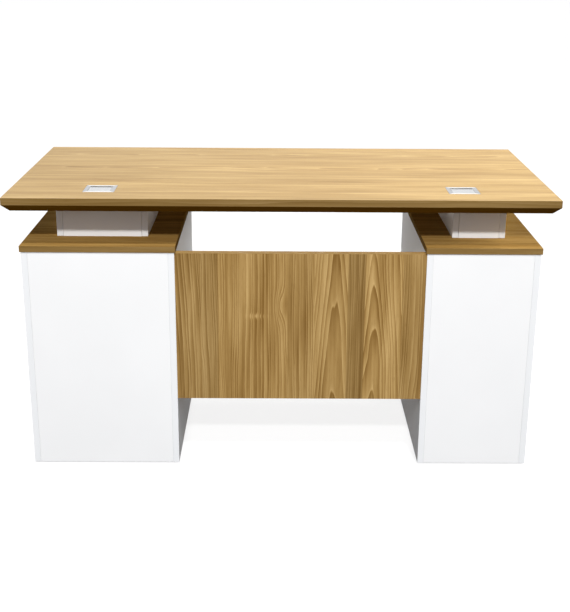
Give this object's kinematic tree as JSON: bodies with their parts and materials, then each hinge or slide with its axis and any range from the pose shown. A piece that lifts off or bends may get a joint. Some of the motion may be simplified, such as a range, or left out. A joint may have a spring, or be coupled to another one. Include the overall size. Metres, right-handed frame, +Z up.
{
  "type": "office desk",
  "caption": "Pedestal office desk: bevelled wood-decor top floating on white risers, modesty panel, drawers on slides, a cupboard with a swinging door and cable grommets with lids.",
  "frame": {"origin": "on the floor under the middle of the desktop", "axes": "+X along the desk, left to right as the visitor sees it; +Y from the visitor's side to the user's side; +Z up"},
  "size_m": [1.4, 0.7, 0.75],
  "materials": {
    "oak_laminate": "satin laminate, oak decor",
    "white_melamine": "fine satin melamine on chipboard",
    "drawer_board": "light grey foil",
    "satin_aluminium": "satin anodised",
    "zinc_steel": "zinc plated",
    "lock_nickel": "nickel plated",
    "black_nylon": "moulded, fine grain"
  },
  "bodies": {
    "desk": {"desktop": "oak_laminate", "modesty_panel": "oak_laminate", "left_pedestal_top": "oak_laminate", "right_pedestal_top": "oak_laminate", "left_pedestal_outer_side": "white_melamine", "left_pedestal_inner_side": "white_melamine", "left_pedestal_front": "white_melamine", "left_pedestal_bottom": "white_melamine", "left_pedestal_plinth": "white_melamine", "left_riser_front": "white_melamine", "left_riser_back": "white_melamine", "left_riser_outer_side": "white_melamine", "left_riser_inner_side": "white_melamine", "left_grommet_frame": "satin_aluminium", "right_pedestal_outer_side": "white_melamine", "right_pedestal_inner_side": "white_melamine", "right_pedestal_front": "white_melamine", "right_pedestal_bottom": "white_melamine", "right_pedestal_plinth": "white_melamine", "right_riser_front": "white_melamine", "right_riser_back": "white_melamine", "right_riser_outer_side": "white_melamine", "right_riser_inner_side": "white_melamine", "right_grommet_frame": "satin_aluminium", "cupboard_shelf": "white_melamine", "riser_brackets": "zinc_steel", "riser_screws": "zinc_steel", "modesty_cam_fittings": "zinc_steel", "shelf_pins": "zinc_steel", "door_pivot_pins": "zinc_steel", "slide_cabinet_members": "zinc_steel", "pedestal_glides": "black_nylon", "door_catch": "black_nylon"},
    "top_drawer": {"top_drawer_front": "white_melamine", "top_drawer_sides": "drawer_board", "top_drawer_back": "drawer_board", "top_drawer_bottom": "drawer_board", "top_drawer_handle": "satin_aluminium", "top_slide_drawer_members": "zinc_steel", "drawer_lock_barrel": "lock_nickel"},
    "middle_drawer": {"middle_drawer_front": "white_melamine", "middle_drawer_sides": "drawer_board", "middle_drawer_back": "drawer_board", "middle_drawer_bottom": "drawer_board", "middle_drawer_handle": "satin_aluminium", "middle_slide_drawer_members": "zinc_steel"},
    "bottom_drawer": {"bottom_drawer_front": "white_melamine", "bottom_drawer_sides": "drawer_board", "bottom_drawer_back": "drawer_board", "bottom_drawer_bottom": "drawer_board", "bottom_drawer_handle": "satin_aluminium", "bottom_slide_drawer_members": "zinc_steel"},
    "lock_plug": {"drawer_lock_plug": "lock_nickel"},
    "top_slides": {"top_slide_intermediates": "zinc_steel"},
    "middle_slides": {"middle_slide_intermediates": "zinc_steel"},
    "bottom_slides": {"bottom_slide_intermediates": "zinc_steel"},
    "cupboard_door": {"cupboard_door": "white_melamine", "cupboard_door_handle": "satin_aluminium"},
    "left_grommet_lid": {"left_grommet_lid": "satin_aluminium"},
    "right_grommet_lid": {"right_grommet_lid": "satin_aluminium"}
  },
  "joints": [
    {"name": "top_drawer_slide", "type": "slide", "parent": "desk", "child": "top_drawer", "axis": [0, 1, 0], "range_m": [0, 0.48]},
    {"name": "top_slide_extension", "type": "slide", "parent": "desk", "child": "top_slides", "axis": [0, 1, 0], "range_m": [0, 0.24]},
    {"name": "middle_drawer_slide", "type": "slide", "parent": "desk", "child": "middle_drawer", "axis": [0, 1, 0], "range_m": [0, 0.48]},
    {"name": "middle_slide_extension", "type": "slide", "parent": "desk", "child": "middle_slides", "axis": [0, 1, 0], "range_m": [0, 0.24]},
    {"name": "bottom_drawer_slide", "type": "slide", "parent": "desk", "child": "bottom_drawer", "axis": [0, 1, 0], "range_m": [0, 0.48]},
    {"name": "bottom_slide_extension", "type": "slide", "parent": "desk", "child": "bottom_slides", "axis": [0, 1, 0], "range_m": [0, 0.24]},
    {"name": "drawer_lock_turn", "type": "hinge", "parent": "top_drawer", "child": "lock_plug", "pos_m": [-0.473, 0.29, 0.577], "axis": [0, -1, 0], "range_deg": [0, 90]},
    {"name": "cupboard_door_swing", "type": "hinge", "parent": "desk", "child": "cupboard_door", "pos_m": [0.639, 0.292, 0.338], "axis": [0, 0, -1], "range_deg": [0, 110]},
    {"name": "left_grommet_lid_tip", "type": "hinge", "parent": "desk", "child": "left_grommet_lid", "pos_m": [-0.468, -0.2621, 0.7485], "axis": [1, 0, 0], "range_deg": [0, 95]},
    {"name": "right_grommet_lid_tip", "type": "hinge", "parent": "desk", "child": "right_grommet_lid", "pos_m": [0.468, -0.2621, 0.7485], "axis": [1, 0, 0], "range_deg": [0, 95]}
  ],
  "couplings": [
    {"joint": "top_slide_extension", "follows": "top_drawer_slide", "ratio": 0.5},
    {"joint": "middle_slide_extension", "follows": "middle_drawer_slide", "ratio": 0.5},
    {"joint": "bottom_slide_extension", "follows": "bottom_drawer_slide", "ratio": 0.5}
  ]
}
